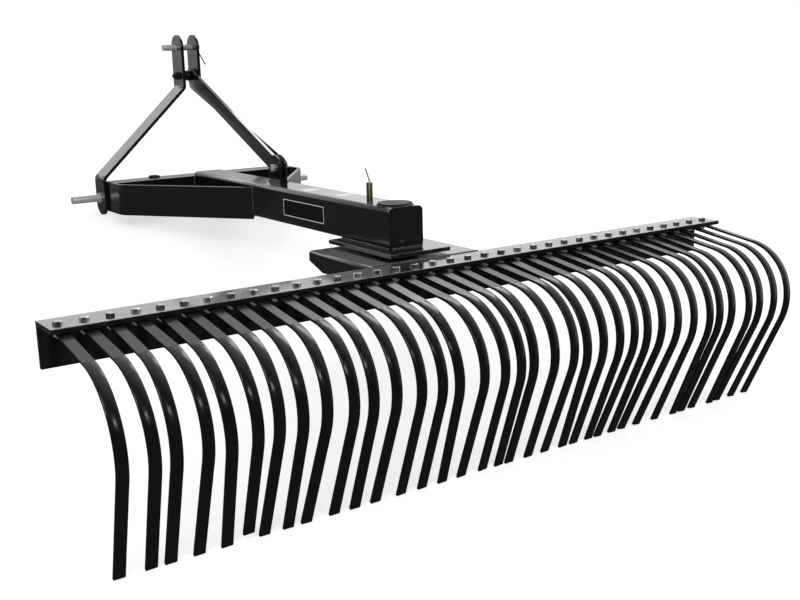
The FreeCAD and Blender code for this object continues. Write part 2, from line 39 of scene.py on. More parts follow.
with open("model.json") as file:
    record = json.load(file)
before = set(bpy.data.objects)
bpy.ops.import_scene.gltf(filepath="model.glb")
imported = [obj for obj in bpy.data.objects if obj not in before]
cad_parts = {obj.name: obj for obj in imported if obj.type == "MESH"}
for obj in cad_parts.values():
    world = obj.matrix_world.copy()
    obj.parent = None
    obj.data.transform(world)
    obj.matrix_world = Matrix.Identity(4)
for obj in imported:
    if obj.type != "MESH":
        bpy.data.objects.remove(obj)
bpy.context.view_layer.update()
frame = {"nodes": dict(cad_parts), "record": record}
NODES = frame["nodes"]
SWIVEL = frame["record"]["behaviour"]["joints"][0]
FRAME_BODY = "hitch_frame"
HEAD_BODY = "rake_head"
MM = 0.001

# Sizes in millimetres, as are all places that are given as plain numbers.
BAR_WALL = 10
TINE_THICKNESS = 6
# Distance forwards along the boom from the bar's front edge to the middle of the label.
LABEL_PLACE = 494
# Each sticker's place across and along the boom's top, and its turn in degrees.
STICKERS = ((-9, 520, 2), (4, 370, -3))
# Bolts in metric proportions: a nut's and a head's height as a share of the thread's diameter.
NUT_HEIGHT = 0.8
HEAD_HEIGHT = 0.65
# Name, width across flats, thread diameter, whether the nut is on the left, and the nut's finish.
LARGE_BOLTS = (
    ("mast_bolt", 23, 14, True, "bare"),
    ("brace_bolt", 19, 12, False, "pin"),
)
# Height of one crest of a thread, rounding of a bolt's edges, and half the thickness of a wire clip.
THREAD_PITCH = 1.5
BOLT_EDGE = 0.35
WIRE_RADIUS = 2
# Distance from one ripple of a weld to the next as a share of its width, and the width of the head's bead
# as a share of the frame's.
RIPPLE_STEP = 0.36
HEAD_BEAD = 0.8

# The camera in the rake's own frame: its turn from straight ahead, its dip below level and its tip to the
# side in degrees, and its place in millimetres. The lens and the sensor are in millimetres too.
CAMERA_YAW, CAMERA_PITCH, CAMERA_ROLL = (math.radians(angle) for angle in (34.218, 13.231, -1.45))
CAMERA_PLACE = (-1480.8, -2059.9, 494.6)
CAMERA_LENS = 49.64
CAMERA_SENSOR = 36
CAMERA_SHIFT = (-0.0003, 0.0019)
# The level direction in which the camera looks.
FLAT_VIEW = Vector((math.sin(CAMERA_YAW), math.cos(CAMERA_YAW), 0))
# Name, place in metres, power in watts and side in metres of each soft lamp.
LAMPS = (
    ("window_lamp", (0.6, -4.4, 3.6), 12, 0.8),
    ("key_lamp", (-2.6, -2.2, 3.4), 60, 1.6),
    ("rear_lamp", (2.4, 2.6, 2.8), 40, 2.0),
)
# The floor's side in metres, and how far it lies below the tine tips in millimetres.
FLOOR_SIDE = 60
FLOOR_DROP = 0.4

# The rake stands nose down, so its own upright frame is built from the axis it swivels about.
UP = Vector(SWIVEL["axis"]).normalized()
RIGHT = Vector((1, 0, 0))
FORWARD = UP.cross(RIGHT)
PIVOT = Vector(SWIVEL["pos_m"])
BAR = NODES["tine_bar"]
BAR_REACH = max((BAR.matrix_world @ corner.co - PIVOT).dot(FORWARD) for corner in BAR.data.vertices)
BAR_EDGE = PIVOT + FORWARD * BAR_REACH
RAKE = Matrix((
    (RIGHT.x, FORWARD.x, UP.x, BAR_EDGE.x),
    (RIGHT.y, FORWARD.y, UP.y, BAR_EDGE.y),
    (RIGHT.z, FORWARD.z, UP.z, BAR_EDGE.z),
    (0, 0, 0, 1),
))
TINES = sorted(name for name in NODES if name.startswith("tine_") and name[-1].isdigit())
BAR_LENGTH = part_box("tine_bar")[1][0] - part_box("tine_bar")[0][0]
PITCH = BAR_LENGTH / len(TINES)


def spread(name):
    """Low and high corners of a construction node in the rake's own frame, in millimetres."""
    node = NODES[name]
    turn = RAKE.inverted() @ node.matrix_world
    spots = [turn @ corner.co / MM for corner in node.data.vertices]
    return [Vector([choose(spot[axis] for spot in spots) for axis in range(3)]) for choose in (min, max)]


# How each bolt happened to stop turning and each weld ripple fell, the same on every run.
CHANCE = random.Random(7)


def linear(hex_colour):
    """Turns an sRGB hex colour into the linear values that Blender mixes."""
    parts = [int(hex_colour[step:step + 2], 16) / 255 for step in (1, 3, 5)]
    return tuple(part / 12.92 if part <= 0.04045 else ((part + 0.055) / 1.055) ** 2.4 for part in parts)


def colour(name, text, hex_colour):
    """A colour that the user can change."""
    return FloatVectorProperty(name=name, description=text, default=linear(hex_colour), subtype="COLOR",
                               size=3, min=0, max=1)


def length(name, text, millimetres):
    """A size that the user can change."""
    return FloatProperty(name=name, description=text, default=millimetres * MM, unit="LENGTH", min=0)


class RakeSizes(bpy.types.PropertyGroup):
    """Sizes of the pieces that are added to the construction."""

    tine_bolt_flats: length("Tine bolt flats", "Width of a tine bolt's head across its flats", 17)
    tine_bolt_head: length("Tine bolt head", "Height of a tine bolt's head", 6.4)
    tine_bolt_size: length("Tine bolt size", "Diameter of a tine bolt's thread", 10)
    tine_bolt_inset: length("Tine bolt inset", "From the bar's front edge back to its bolts", 55)
    edge_round: length("Edge rounding", "How far the steel's edges are rounded", 1.2)
    weld_width: length("Weld width", "Width of a weld bead", 8)
    label_length: length("Label length", "Length of the blank label on the boom", 220)
    label_height: length("Label height", "Height of the blank label on the boom", 50)
    sticker_side: length("Sticker side", "Side of each blank sticker on top of the boom", 45)


class RakeColours(bpy.types.PropertyGroup):
    """Colours of the finishes."""

    frame_black: colour("Frame black", "Powder coat of the hitch frame", "#0e0e0d")
    # Pale tone on the paint's upward faces: partly real dust, partly painted sheen that lightens the tops.
    frame_dust_and_sheen: colour("Frame dust", "Fine dust lying on the powder coat", "#8f8a80")
    tine_black: colour("Tine black", "Enamel of the spring tines", "#0c0b0a")
    zinc: colour("Zinc", "Bright zinc plate", "#e6eaee")
    zinc_dull: colour("Dull zinc", "Zinc plate where it has dulled", "#a7acb1")
    yellow_zinc: colour("Yellow zinc", "Yellow passivated zinc plate", "#948a78")
    straw_zinc: colour("Straw zinc", "Passivated wire of the lock pin", "#d2caa8")
    bare_steel: colour("Bare steel", "Dark steel of the mast's nut", "#15110f")
    rust: colour("Rust", "Rust blooming on bare steel", "#5e2c1a")
    label_black: colour("Label black", "Face of the label", "#0a0a0a")
    label_rim: colour("Label rim", "Border of the label", "#d8d8d4")
    sticker_white: colour("Sticker white", "Vinyl of the stickers", "#ecebe6")


# ---------------------------------------------------------------- materials


def per_metre(millimetres):
    """The noise scale whose features are this many millimetres wide."""
    return 1000 / millimetres


def add(tree, kind, inputs=None, **settings):
    """Adds a node with its settings, and its inputs as values or links."""
    made = tree.nodes.new(kind)
    for key, value in settings.items():
        setattr(made, key, value)
    for socket, value in (inputs or {}).items():
        if isinstance(value, bpy.types.NodeSocket):
            tree.links.new(value, made.inputs[socket])
        else:
            made.inputs[socket].default_value = value
    return made


def opaque(three):
    """A colour with the fourth value that colour sockets take."""
    return (three[0], three[1], three[2], 1)


def new_material(name):
    """An empty node material with its output, and the object coordinates that its patterns read."""
    material = bpy.data.materials.new(name)
    material.use_nodes = True
    tree = material.node_tree
    tree.nodes.clear()
    place = add(tree, "ShaderNodeTexCoord").outputs["Object"]
    return material, tree, place


def finish_material(material, tree, shader):
    """Gives a material its output."""
    add(tree, "ShaderNodeOutputMaterial", {"Surface": shader.outputs[0]})
    return material


def paint(name, base, dust_and_sheen_tone, dust_and_sheen_share, rough, peel_mm, peel_depth, lacquer):
    """Paint on steel: uneven gloss, the fine dimples of sprayed paint, a hard glossy skin, and a pale tone
    on what faces up that is partly dust and partly painted sheen, lightening the tops. It gives the eye a
    deep black that turns pale where it is seen along the surface."""
    material, tree, place = new_material(name)
    patches = add(tree, "ShaderNodeTexNoise", {"Vector": place, "Scale": per_metre(60), "Detail": 6.0,
                                               "Roughness": 0.6})
    peel = add(tree, "ShaderNodeTexNoise", {"Vector": place, "Scale": per_metre(peel_mm), "Detail": 3.0})
    grit = add(tree, "ShaderNodeTexNoise", {"Vector": place, "Scale": per_metre(9), "Detail": 5.0,
                                            "Roughness": 0.7})
    normal = add(tree, "ShaderNodeNewGeometry").outputs["Normal"]
    # Upward faces are mixed towards the pale tone: partly dust, partly painted sheen lightening the tops.
    facing_up = add(tree, "ShaderNodeVectorMath", {0: normal, 1: tuple(UP)}, operation="DOT_PRODUCT")
    tops_dust_and_sheen = add(tree, "ShaderNodeMapRange", {"Value": facing_up.outputs["Value"], "From Min": 0.3,
                                             "From Max": 1.0, "To Min": 0.0, "To Max": dust_and_sheen_share})
    specks = add(tree, "ShaderNodeMapRange", {"Value": grit.outputs["Fac"], "From Min": 0.42,
                                              "From Max": 0.72, "To Min": 0.15, "To Max": 1.0})
    drifts = add(tree, "ShaderNodeTexNoise", {"Vector": place, "Scale": per_metre(170), "Detail": 4.0})
    heaped = add(tree, "ShaderNodeMapRange", {"Value": drifts.outputs["Fac"], "From Min": 0.4,
                                              "From Max": 0.65, "To Min": 0.5, "To Max": 2.0})
    film = add(tree, "ShaderNodeMath", {0: tops_dust_and_sheen.outputs[0], 1: specks.outputs[0]}, operation="MULTIPLY")
    film = add(tree, "ShaderNodeMath", {0: film.outputs[0], 1: heaped.outputs[0]}, operation="MULTIPLY")
    skin = add(tree, "ShaderNodeMix", {0: film.outputs[0], 6: opaque(base), 7: opaque(dust_and_sheen_tone)},
               data_type="RGBA")
    gloss = add(tree, "ShaderNodeMapRange", {"Value": patches.outputs["Fac"], "From Min": 0.3,
                                             "From Max": 0.7, "To Min": rough - 0.06,
                                             "To Max": rough + 0.08})
    dimples = add(tree, "ShaderNodeBump", {"Height": peel.outputs["Fac"], "Strength": 1.0,
                                           "Distance": peel_depth * MM})
    shader = add(tree, "ShaderNodeBsdfPrincipled", {
        "Base Color": skin.outputs[2], "Roughness": gloss.outputs[0], "IOR": 1.5, "Coat Weight": lacquer,
        "Coat IOR": 1.9, "Coat Roughness": 0.08, "Normal": dimples.outputs["Normal"],
        "Coat Normal": dimples.outputs["Normal"]})
    return finish_material(material, tree, shader)


def browned(name, base, rust, share):
    """Bare dark steel that has begun to rust: dull near-black with brown blooms."""
    material, tree, place = new_material(name)
    blooms = add(tree, "ShaderNodeTexNoise", {"Vector": place, "Scale": per_metre(7), "Detail": 6.0,
                                              "Roughness": 0.7})
    rusted = add(tree, "ShaderNodeMapRange", {"Value": blooms.outputs["Fac"], "From Min": 0.45,
                                              "From Max": 0.7, "To Min": 0.0, "To Max": share})
    skin = add(tree, "ShaderNodeMix", {0: rusted.outputs[0], 6: opaque(base), 7: opaque(rust)},
               data_type="RGBA")
    pits = add(tree, "ShaderNodeBump", {"Height": blooms.outputs["Fac"], "Strength": 0.6,
                                        "Distance": 0.1 * MM})
    shader = add(tree, "ShaderNodeBsdfPrincipled", {
        "Base Color": skin.outputs[2], "Roughness": 0.55, "IOR": 1.5, "Normal": pits.outputs["Normal"]})
    return finish_material(material, tree, shader)


def plated(name, bright, dull, rough, mottle_mm, metal=1.0):
    """Plated steel: bright metal with duller clouds and fine scratches, which are drawn 0.8 mm apart,
    coarser than real ones, so that they show. A lower share of metal gives the chalky bloom of zinc."""
    material, tree, place = new_material(name)
    clouds = add(tree, "ShaderNodeTexNoise", {"Vector": place, "Scale": per_metre(mottle_mm),
                                              "Detail": 5.0})
    skin = add(tree, "ShaderNodeMix", {0: clouds.outputs["Fac"], 6: opaque(dull), 7: opaque(bright)},
               data_type="RGBA")
    gloss = add(tree, "ShaderNodeMapRange", {"Value": clouds.outputs["Fac"], "From Min": 0.3,
                                             "From Max": 0.7, "To Min": rough + 0.12, "To Max": rough})
    fine = add(tree, "ShaderNodeTexNoise", {"Vector": place, "Scale": per_metre(0.8), "Detail": 2.0})
    scratches = add(tree, "ShaderNodeBump", {"Height": fine.outputs["Fac"], "Strength": 0.4,
                                             "Distance": 0.05 * MM})
    shader = add(tree, "ShaderNodeBsdfPrincipled", {
        "Base Color": skin.outputs[2], "Metallic": metal, "Roughness": gloss.outputs[0],
        "Normal": scratches.outputs["Normal"]})
    return finish_material(material, tree, shader)


def plastic(name, base, rough):
    """Plastic, moulded or as a printed film: even colour with a faint ripple and scuffs in its gloss."""
    material, tree, place = new_material(name)
    scuffs = add(tree, "ShaderNodeTexNoise", {"Vector": place, "Scale": per_metre(14), "Detail": 6.0})
    gloss = add(tree, "ShaderNodeMapRange", {"Value": scuffs.outputs["Fac"], "From Min": 0.35,
                                             "From Max": 0.7, "To Min": rough, "To Max": rough + 0.25})
    shaded = [part * 0.9 for part in base]
    skin = add(tree, "ShaderNodeMix", {0: scuffs.outputs["Fac"], 6: opaque(shaded), 7: opaque(base)},
               data_type="RGBA")
    ripple = add(tree, "ShaderNodeBump", {"Height": scuffs.outputs["Fac"], "Strength": 0.5,
                                          "Distance": 0.2 * MM})
    shader = add(tree, "ShaderNodeBsdfPrincipled", {
        "Base Color": skin.outputs[2], "Roughness": gloss.outputs[0], "IOR": 1.46,
        "Normal": ripple.outputs["Normal"]})
    return finish_material(material, tree, shader)


def give(piece, material):
    """Leaves a piece with this material alone."""
    piece.data.materials.clear()
    piece.data.materials.append(material)


def paint_node(name, material):
    """Puts a material in every slot of a construction node, whose mesh stays as it is."""
    node = NODES[name]
    if not node.material_slots:
        node.data.materials.append(material)
    for held in node.material_slots:
        held.material = material


# ---------------------------------------------------------------- modelling


def start_fresh():
    """Object mode with nothing selected, so that an operator acts on the new piece alone."""
    if bpy.context.object and bpy.context.object.mode != "OBJECT":
        bpy.ops.object.mode_set(mode="OBJECT")
    bpy.ops.object.select_all(action="DESELECT")


def take(piece):
    """Selects this piece alone."""
    start_fresh()
    piece.select_set(True)
    bpy.context.view_layer.objects.active = piece


def apply_place(piece):
    """Moves a piece's place, turn and scale into its mesh."""
    take(piece)
    bpy.ops.object.transform_apply(location=True, rotation=True, scale=True)


def shape_faces(piece, test, work):
    """Opens edit mode with the faces chosen by the test, and does the work on them."""
    take(piece)
    bpy.ops.object.mode_set(mode="EDIT")
    bpy.ops.mesh.select_mode(type="FACE")
    bpy.ops.mesh.select_all(action="DESELECT")
    bpy.ops.object.mode_set(mode="OBJECT")
    for face in piece.data.polygons:
        face.select = test(face)
    bpy.ops.object.mode_set(mode="EDIT")
    work()
    bpy.ops.object.mode_set(mode="OBJECT")


def use_modifier(piece, kind, **settings):
    """Adds a modifier with its settings and applies it."""
    take(piece)
    held = piece.modifiers.new(kind.lower(), kind)
    for key, value in settings.items():
        setattr(held, key, value)
    bpy.ops.object.modifier_apply(modifier=held.name)


def smooth(piece, degrees):
    """Shades a piece smooth where its faces meet at less than this angle."""
    take(piece)
    bpy.ops.object.shade_smooth_by_angle(angle=math.radians(degrees))


def prism(sides, radius, low, high):
    """A prism or cylinder along Z between two heights."""
    start_fresh()
    bpy.ops.mesh.primitive_cylinder_add(vertices=sides, radius=radius, depth=high - low,
                                        location=(0, 0, (low + high) / 2))
    piece = bpy.context.object
    apply_place(piece)
    return piece


def faces_up(face):
    """Whether a face looks up."""
    return face.normal.z > 0.9


def turn_down(piece, inset, drop):
    """Slopes the rim of a prism's top round an inset face that is left at full height."""
    shape_faces(piece, faces_up, lambda: bpy.ops.mesh.inset(thickness=inset, depth=0))
    top = max(corner.co.z for corner in piece.data.vertices)
    middle = max(filter(faces_up, piece.data.polygons), key=lambda face: face.area)
    inside = set(middle.vertices)
    for corner in piece.data.vertices:
        if abs(corner.co.z - top) < 1e-7 and corner.index not in inside:
            corner.co.z -= drop


def joined(name, pieces):
    """Joins pieces into one mesh under a name."""
    start_fresh()
    for piece in pieces:
        piece.select_set(True)
    made = pieces[0]
    bpy.context.view_layer.objects.active = made
    bpy.ops.object.join()
    made.name = made.data.name = name
    return made


def repeated(name, model, places):
    """Copies a model to each place, every copy with its own mesh, and joins them."""
    copies = []
    for place in places:
        copy = model.copy()
        copy.data = model.data.copy()
        copy.data.transform(place)
        bpy.context.scene.collection.objects.link(copy)
        copies.append(copy)
    bpy.data.objects.remove(model)
    return joined(name, copies)


def settle(piece, body, material):
    """Turns a finished piece from the rake's frame to the world's, and gives it its finish and its body."""
    piece.data.transform(RAKE)
    piece.matrix_world = Matrix.Identity(4)
    give(piece, material)
    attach(piece, body)


def moved(x, y, z):
    """A move in the rake's own frame, in millimetres."""
    return Matrix.Translation((x * MM, y * MM, z * MM))


# These turn a piece that stands along Z until it points to the rake's left or right.
LOOK_LEFT = Matrix.Rotation(-math.pi / 2, 4, "Y")
LOOK_RIGHT = Matrix.Rotation(math.pi / 2, 4, "Y")


def hexagon(flats, height, inset, drop):
    """A hexagon standing on the XY plane, its corners turned down by shares of its width and height."""
    piece = prism(6, flats / 2 / math.cos(math.pi / 6), 0, height)
    turn_down(piece, flats * inset, height * drop)
    use_modifier(piece, "BEVEL", width=BOLT_EDGE * MM, segments=2, limit_method="ANGLE")
    return piece


def bolt_head(flats, height):
    """A hexagon head, whose corners are turned down further than a nut's."""
    return hexagon(flats, height, inset=0.09, drop=0.16)


def nut_on_thread(flats, height, thread, proud):
    """A nut with the end of its bolt standing out of it, both along Z from the XY plane."""
    parts = [hexagon(flats, height, inset=0.08, drop=0.12)]
    crests = max(2, int(proud / (THREAD_PITCH * MM)))
    for number in range(crests):
        low = height + number * proud / crests
        crest = prism(20, thread / 2, low, low + proud / crests)
        shape_faces(crest, faces_up, lambda: bpy.ops.transform.resize(value=(0.86, 0.86, 1)))
        parts.append(crest)
    return joined("nut", parts)


def ripple_model(width):
    """One ripple of a weld bead, a flattened bead of metal."""
    start_fresh()
    bpy.ops.mesh.primitive_uv_sphere_add(segments=10, ring_count=6, radius=width / 2)
    ripple = bpy.context.object
    shape_faces(ripple, lambda face: True, lambda: bpy.ops.transform.resize(value=(0.62, 1, 0.72)))
    smooth(ripple, 80)
    return ripple


def seam_places(start, end, step):
    """Places for the ripples of a straight seam, each a little off and turned as a hand-laid bead is."""
    start, end = Vector(start) * MM, Vector(end) * MM
    run = end - start
    count = max(2, int(run.length / step))
    along = run.normalized().to_track_quat("X", "Z").to_matrix().to_4x4()
    places = []
    for number in range(count + 1):
        spot = start + run * number / count
        size = CHANCE.uniform(0.9, 1.08)
        sway = Matrix.Rotation(CHANCE.uniform(-0.12, 0.12), 4, "Z")
        places.append(Matrix.Translation(spot) @ along @ sway @ Matrix.Scale(size, 4))
    return places


def round_seam(centre, radius, step):
    """Places for the ripples of a level round seam."""
    places = []
    count = int(2 * math.pi * radius * MM / step)
    for number in range(count):
        angle = 2 * math.pi * number / count
        x = centre[0] + radius * math.cos(angle)
        y = centre[1] + radius * math.sin(angle)
        spot = Vector((x, y, centre[2])) * MM
        turn = Matrix.Rotation(angle + math.pi / 2, 4, "Z")
        size = CHANCE.uniform(0.92, 1.06)
        places.append(Matrix.Translation(spot) @ turn @ Matrix.Scale(size, 4))
    return places


def bent_wire(name, points):
    """A wire of round section through rounded corners, closed at both ends."""
    start_fresh()
    line = bpy.data.curves.new(name, "CURVE")
    line.dimensions = "3D"
    spline = line.splines.new("NURBS")
    spline.points.add(len(points) - 1)
    for held, point in zip(spline.points, points):
        held.co = (point[0] * MM, point[1] * MM, point[2] * MM, 1)
    spline.order_u = 3
    spline.use_endpoint_u = True
    line.resolution_u = 6
    line.bevel_depth = WIRE_RADIUS * MM
    line.bevel_resolution = 3
    line.use_fill_caps = True
    wire = bpy.data.objects.new(name, line)
    bpy.context.scene.collection.objects.link(wire)
    take(wire)
    bpy.ops.object.convert(target="MESH")
    wire = bpy.context.object
    smooth(wire, 50)
    return wire


def film(name, width, depth, thick, corner):
    """A thin sheet with rounded corners, lying on the XY plane."""
    start_fresh()
    bpy.ops.mesh.primitive_cube_add(size=1, location=(0, 0, thick / 2), scale=(width, depth, thick))
    piece = bpy.context.object
    apply_place(piece)
    bpy.ops.object.mode_set(mode="EDIT")
    bpy.ops.mesh.select_mode(type="EDGE")
    bpy.ops.mesh.select_all(action="DESELECT")
    bpy.ops.object.mode_set(mode="OBJECT")
    for edge in piece.data.edges:
        low, high = (piece.data.vertices[end].co.z for end in edge.vertices)
        edge.select = abs(low - high) > thick / 2
    bpy.ops.object.mode_set(mode="EDIT")
    bpy.ops.mesh.bevel(offset=corner, segments=5, affect="EDGES")
    bpy.ops.object.mode_set(mode="OBJECT")
    piece.name = name
    return piece


def cut_to_border(piece, width):
    """Cuts the middle out of a sheet, and leaves a closed border of this width."""
    def hollow():
        bpy.ops.mesh.inset(thickness=width)
        bpy.ops.mesh.delete(type="FACE")
    shape_faces(piece, lambda face: abs(face.normal.z) > 0.9, hollow)
    bpy.ops.object.mode_set(mode="EDIT")
    bpy.ops.mesh.select_mode(type="EDGE")
    bpy.ops.mesh.select_all(action="DESELECT")
    bpy.ops.mesh.select_non_manifold()
    bpy.ops.mesh.bridge_edge_loops()
    bpy.ops.mesh.select_all(action="SELECT")
    bpy.ops.mesh.normals_make_consistent(inside=False)
    bpy.ops.object.mode_set(mode="OBJECT")


# ---------------------------------------------------------------- studio


def floor_material():
    """A floor that is white to the camera, keeps the rake's shadow and throws plain light up at it."""
    material, tree, place = new_material("white_studio_floor")
    light = add(tree, "ShaderNodeLightPath")
    matt = add(tree, "ShaderNodeBsdfDiffuse", {"Color": (0.56, 0.56, 0.56, 1)})
    glow = add(tree, "ShaderNodeEmission", {"Color": (1, 1, 1, 1), "Strength": 0.6})
    both = add(tree, "ShaderNodeAddShader", {0: matt.outputs[0], 1: glow.outputs[0]})
    plain = add(tree, "ShaderNodeBsdfDiffuse", {"Color": (0.8, 0.8, 0.8, 1)})
    chosen = add(tree, "ShaderNodeMixShader", {0: light.outputs["Is Camera Ray"], 1: plain.outputs[0],
                                               2: both.outputs[0]})
    # In reflections the floor is dark around the rake and grows white beyond it.
    ahead_of = add(tree, "ShaderNodeVectorMath", {0: place, 1: tuple(FLAT_VIEW)}, operation="DOT_PRODUCT")
    far = add(tree, "ShaderNodeMapRange", {"Value": ahead_of.outputs["Value"], "From Min": 0.4,
                                           "From Max": 3.5, "To Min": 0.05, "To Max": 1.0})
    sheen = add(tree, "ShaderNodeEmission", {"Color": (1, 1, 1, 1), "Strength": far.outputs[0]})
    chosen = add(tree, "ShaderNodeMixShader", {0: light.outputs["Is Glossy Ray"], 1: chosen.outputs[0],
                                               2: sheen.outputs[0]})
    return finish_material(material, tree, chosen)


def studio_world():
    """White to the camera, and 0.75 as light on the rake. In reflections it is white beyond the rake,
    nearly black on the camera's side and half as bright overhead, as in a room lit along one wall."""
    world = bpy.data.worlds.new("studio_world")
    world.use_nodes = True
    tree = world.node_tree
    tree.nodes.clear()
    light = add(tree, "ShaderNodeLightPath")
    way = add(tree, "ShaderNodeTexCoord").outputs["Generated"]
    beyond = add(tree, "ShaderNodeVectorMath", {0: way, 1: tuple(FLAT_VIEW)}, operation="DOT_PRODUCT")
    bright = add(tree, "ShaderNodeMapRange", {"Value": beyond.outputs["Value"], "From Min": -0.1,
                                              "From Max": 0.6, "To Min": 0.04, "To Max": 1.0})
    height = add(tree, "ShaderNodeSeparateXYZ", {0: way}).outputs["Z"]
    overhead = add(tree, "ShaderNodeMapRange", {"Value": height, "From Min": 0.08, "From Max": 0.5,
                                                "To Min": 1.0, "To Max": 0.5})
    bright = add(tree, "ShaderNodeMath", {0: bright.outputs[0], 1: overhead.outputs[0]},
                 operation="MULTIPLY")
    mirrored = add(tree, "ShaderNodeMix", {0: light.outputs["Is Glossy Ray"], 2: 0.75,
                                           3: bright.outputs[0]})
    seen = add(tree, "ShaderNodeMix", {0: light.outputs["Is Camera Ray"], 2: mirrored.outputs[0],
                                       3: 1.0})
    backdrop = add(tree, "ShaderNodeBackground", {"Color": (1, 1, 1, 1), "Strength": seen.outputs[0]})
    add(tree, "ShaderNodeOutputWorld", {"Surface": backdrop.outputs[0]})
    return world


def hang_lamp(scene, name, spot, power, side):
    """A soft square lamp that faces the bar."""
    lamp = bpy.data.lights.new(name, "AREA")
    lamp.energy = power
    lamp.size = side
    held = bpy.data.objects.new(name, lamp)
    scene.collection.objects.link(held)
    held.location = spot
    held.rotation_euler = (BAR_EDGE - Vector(spot)).to_track_quat("-Z", "Y").to_euler()


def stand_camera(scene):
    """The camera, looking at the rake from behind its left end."""
    flat = math.cos(CAMERA_PITCH)
    ahead = Vector((math.sin(CAMERA_YAW) * flat, math.cos(CAMERA_YAW) * flat, -math.sin(CAMERA_PITCH)))
    level = Vector((math.cos(CAMERA_YAW), -math.sin(CAMERA_YAW), 0))
    above = level.cross(ahead)
    across = level * math.cos(CAMERA_ROLL) + above * math.sin(CAMERA_ROLL)
    upright = above * math.cos(CAMERA_ROLL) - level * math.sin(CAMERA_ROLL)
    turned = Matrix((across, upright, -ahead)).transposed().to_4x4()
    camera = bpy.data.cameras.new("camera")
    camera.lens = CAMERA_LENS
    camera.sensor_width = CAMERA_SENSOR
    camera.shift_x, camera.shift_y = CAMERA_SHIFT
    held = bpy.data.objects.new("camera", camera)
    scene.collection.objects.link(held)
    held.matrix_world = RAKE @ Matrix.Translation(Vector(CAMERA_PLACE) * MM) @ turned
    scene.camera = held


# ---------------------------------------------------------------- operators

# Each finish by its short name, filled by the first operator.
FINISHES = {}


class RAKE_OT_finishes(bpy.types.Operator):
    """Makes the paints and platings, paints the construction and rounds its edges"""

    bl_idname = "rake.finishes"
    bl_label = "Paint the steel"

    def execute(self, context):
        tones = context.scene.rake_colours
        # Powder coat, baked on in one thick even layer: satin black with a fine dimpled skin. Its upward
        # faces turn towards a pale tone, partly dust and partly painted sheen that lightens the tops.
        FINISHES["powder"] = paint("powder_coat_on_steel", tones.frame_black, tones.frame_dust_and_sheen,
                                   dust_and_sheen_share=0.18, rough=0.2, peel_mm=2.4, peel_depth=0.008, lacquer=0.85)
        # Enamel sprayed on spring steel: thinner, softer in its shine and less even than the powder coat.
        # Its tops take a little of the same pale tone, dust and painted sheen.
        FINISHES["enamel"] = paint("sprayed_enamel_on_spring_steel", tones.tine_black, tones.frame_dust_and_sheen,
                                   dust_and_sheen_share=0.06, rough=0.24, peel_mm=5, peel_depth=0.03, lacquer=0.12)
        # Zinc plate from a barrel: bright and faintly blue, clouded where it has dulled.
        FINISHES["zinc"] = plated("barrel_plated_zinc", tones.zinc, tones.zinc_dull, rough=0.16,
                                  mottle_mm=5)
        # Turned pins with the same plate: a broad soft shine along their tops.
        FINISHES["pin"] = plated("plated_turned_pin", tones.zinc, tones.zinc_dull, rough=0.34, mottle_mm=9,
                                 metal=0.6)
        # Zinc with a yellow passivate, weathered on the lock pin: dull brownish metal.
        dulled = [part * 0.45 for part in tones.yellow_zinc]
        FINISHES["yellow"] = plated("yellow_passivated_zinc", tones.yellow_zinc, dulled, rough=0.34,
                                    mottle_mm=7)
        # Spring wire with a thin passivate: pale straw, with a chalky bloom.
        FINISHES["straw"] = plated("straw_passivated_wire", tones.straw_zinc, tones.yellow_zinc, rough=0.34,
                                   mottle_mm=7, metal=0.4)
        # Steel left bare and oiled: nearly black with brown rust coming through.
        FINISHES["bare"] = browned("oiled_bare_steel", tones.bare_steel, tones.rust, share=0.7)
        # Moulded plugs: matt black beside the paint's shine.
        FINISHES["plug"] = plastic("moulded_black_plastic", tones.label_black, rough=0.42)
        # Printed film, stuck flat: black with a soft even shine, a pale border, and white stickers.
        FINISHES["label"] = plastic("printed_vinyl_label", tones.label_black, rough=0.3)
        FINISHES["rim"] = plastic("printed_vinyl_border", tones.label_rim, rough=0.35)
        FINISHES["sticker"] = plastic("white_vinyl_film", tones.sticker_white, rough=0.4)
        slots = {entry["node"]: entry["material_slot"] for entry in frame["record"]["subparts"]}
        finish_of = {"black_enamel": "powder", "tine_enamel": "enamel", "zinc_plate": "zinc"}
        for name, node in NODES.items():
            paint_node(name, FINISHES[finish_of[slots[name]]])
            weld = node.modifiers.new("merge_corners", "WELD")
            weld.merge_threshold = 0.01 * MM
            bevel = node.modifiers.new("rounded_edges", "BEVEL")
            bevel.width = context.scene.rake_sizes.edge_round
            bevel.segments = 2
            bevel.limit_method = "ANGLE"
            bevel.angle_limit = math.radians(40)
            bevel.harden_normals = True
        paint_node("lock_pin", FINISHES["yellow"])
        for name in ("lower_hitch_pin_left", "lower_hitch_pin_right", "top_link_pin"):
            paint_node(name, FINISHES["pin"])
        paint_node("kingpin_cap", FINISHES["plug"])
        return {"FINISHED"}


